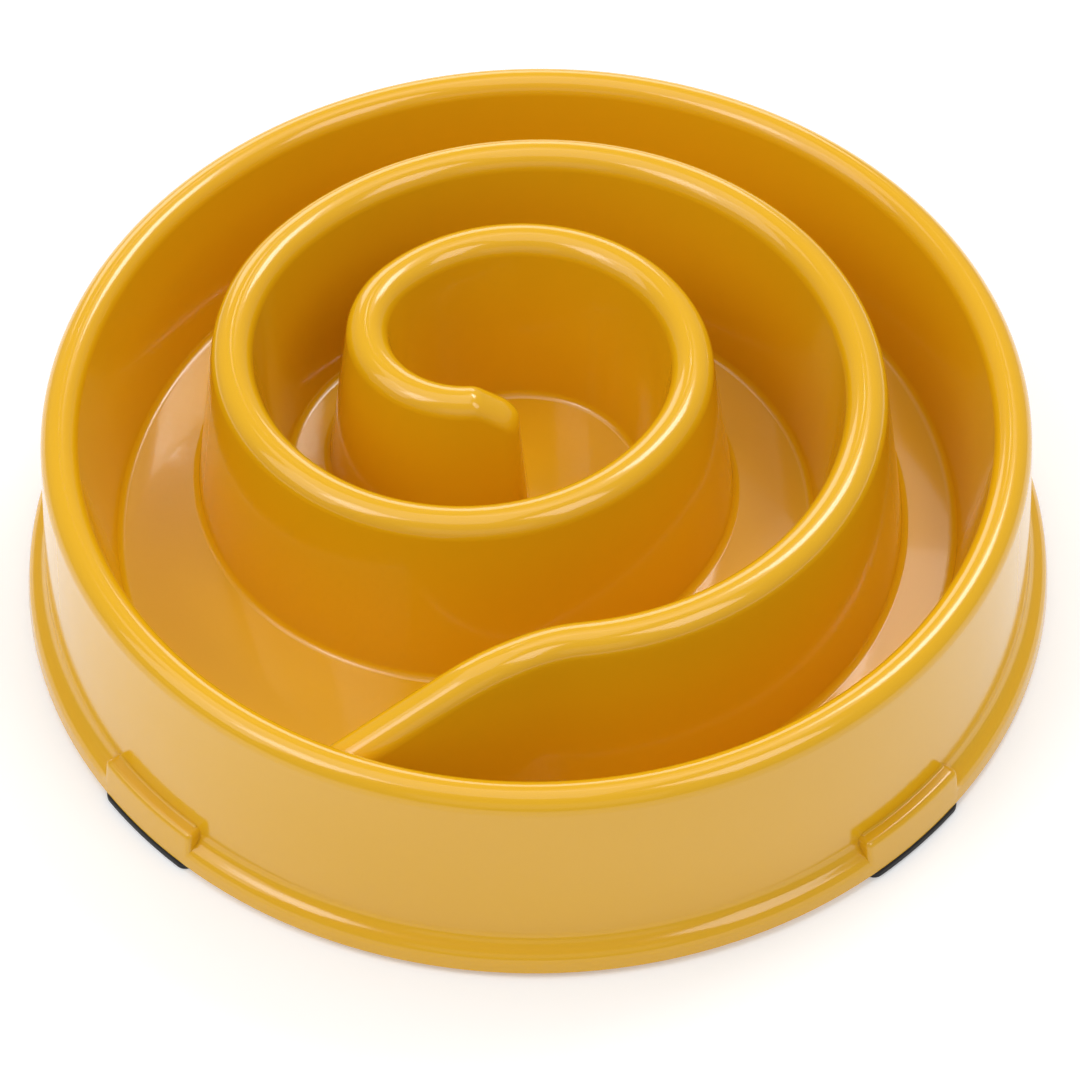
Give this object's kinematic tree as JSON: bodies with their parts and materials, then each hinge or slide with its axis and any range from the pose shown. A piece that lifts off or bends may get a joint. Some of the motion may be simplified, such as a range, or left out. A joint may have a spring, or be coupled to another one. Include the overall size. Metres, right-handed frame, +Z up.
{
  "type": "slow feeder bowl",
  "caption": "Round slow feeder bowl for dry pet food, with a spiral ridge over a raised floor, a wide foot flange and rubber feet.",
  "frame": {"origin": "on the bowl's axis, at the underside of the rubber feet", "axes": "+Z up along the bowl's axis; -Y towards the picture's camera, +X to the picture's right"},
  "size_m": [0.28, 0.28, 0.0708],
  "materials": {
    "yellow_plastic": "gloss",
    "black_rubber": "matt"
  },
  "bodies": {
    "root": {"bowl": "yellow_plastic", "foot_back_right": "black_rubber", "foot_back_left": "black_rubber", "foot_front_left": "black_rubber", "foot_front_right": "black_rubber"}
  },
  "joints": []
}
